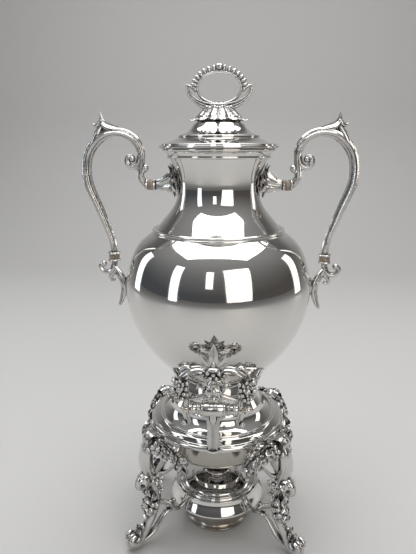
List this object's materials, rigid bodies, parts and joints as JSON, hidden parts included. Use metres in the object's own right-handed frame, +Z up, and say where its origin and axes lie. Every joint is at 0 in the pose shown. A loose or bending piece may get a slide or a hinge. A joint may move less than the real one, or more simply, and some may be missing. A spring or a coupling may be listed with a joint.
{
  "type": "coffee urn",
  "caption": "Pear-shaped silver-plated coffee urn with hinged domed lid, two scroll handles, lever tap, four scroll legs and a lift-out spirit lamp below.",
  "frame": {"origin": "on the table under the urn's vertical axis, midway between its four feet", "axes": "+Z up along the axis of the spun body, the tap points to -Y, the handles lie along X"},
  "size_m": [0.237, 0.1717, 0.4242],
  "materials": {
    "silver": "mirror-polished silver plate",
    "silver_trim": "polished silver plate, slightly worn",
    "silver_cast": "polished castings with darkened recesses",
    "silver_dark": "tarnished silver plate",
    "insulator": "aged bone",
    "steel": "plain steel",
    "brass": "turned brass",
    "gasket": "oiled leather",
    "wick": "woven cotton"
  },
  "bodies": {
    "urn": {"body_shell": "silver", "body_shoulder": "silver", "neck_shell": "silver", "neck_band": "silver_trim", "mouth_rim": "silver_trim", "body_stem": "silver", "base_dish": "silver", "base_apron": "silver_dark", "rim_hinge_leaf": "silver_cast", "hinge_pin": "steel", "tap_boss": "silver_trim", "tap_body": "silver_trim", "tap_gasket": "gasket", "tap_nut": "brass", "left_upper_mount": "silver_cast", "left_upper_insulator": "insulator", "left_grip": "silver_cast", "left_lower_insulator": "insulator", "left_lower_mount": "silver_cast", "left_insulator_pins": "steel", "right_upper_mount": "silver_cast", "right_upper_insulator": "insulator", "right_grip": "silver_cast", "right_lower_insulator": "insulator", "right_lower_mount": "silver_cast", "right_insulator_pins": "steel", "leg_front_left": "silver_cast", "leg_front_right": "silver_cast", "leg_rear_left": "silver_cast", "leg_rear_right": "silver_cast"},
    "lid": {"lid_shell": "silver", "lid_bezel": "silver_dark", "lid_hinge_leaf": "silver_cast", "finial_base": "silver_cast", "finial_ring": "silver_cast", "finial_stud": "steel", "finial_nut": "brass"},
    "tap_handle": {"tap_plug": "brass", "tap_lever": "silver_cast", "plug_knob": "silver_trim", "plug_head": "silver_trim"},
    "lamp": {"lamp_bowl": "silver_dark", "lamp_band": "silver", "lamp_cover": "silver", "wick_tube": "brass", "wick": "wick"},
    "lamp_cap": {"lamp_cap": "silver"}
  },
  "joints": [
    {"name": "lid_hinge", "type": "hinge", "parent": "urn", "child": "lid", "pos_m": [0, 0.0535, 0.35845], "axis": [-1, 0, 0], "range_deg": [0, 105]},
    {"name": "tap_turn", "type": "hinge", "parent": "urn", "child": "tap_handle", "pos_m": [0, -0.084, 0.1608], "axis": [1, 0, 0], "range_deg": [0, 80]},
    {"name": "lamp_lift", "type": "slide", "parent": "urn", "child": "lamp", "axis": [0, 0, 1], "range_m": [0, 0.027]},
    {"name": "cap_lift", "type": "slide", "parent": "lamp", "child": "lamp_cap", "axis": [0, 0, 1], "range_m": [0, 0.015]}
  ]
}
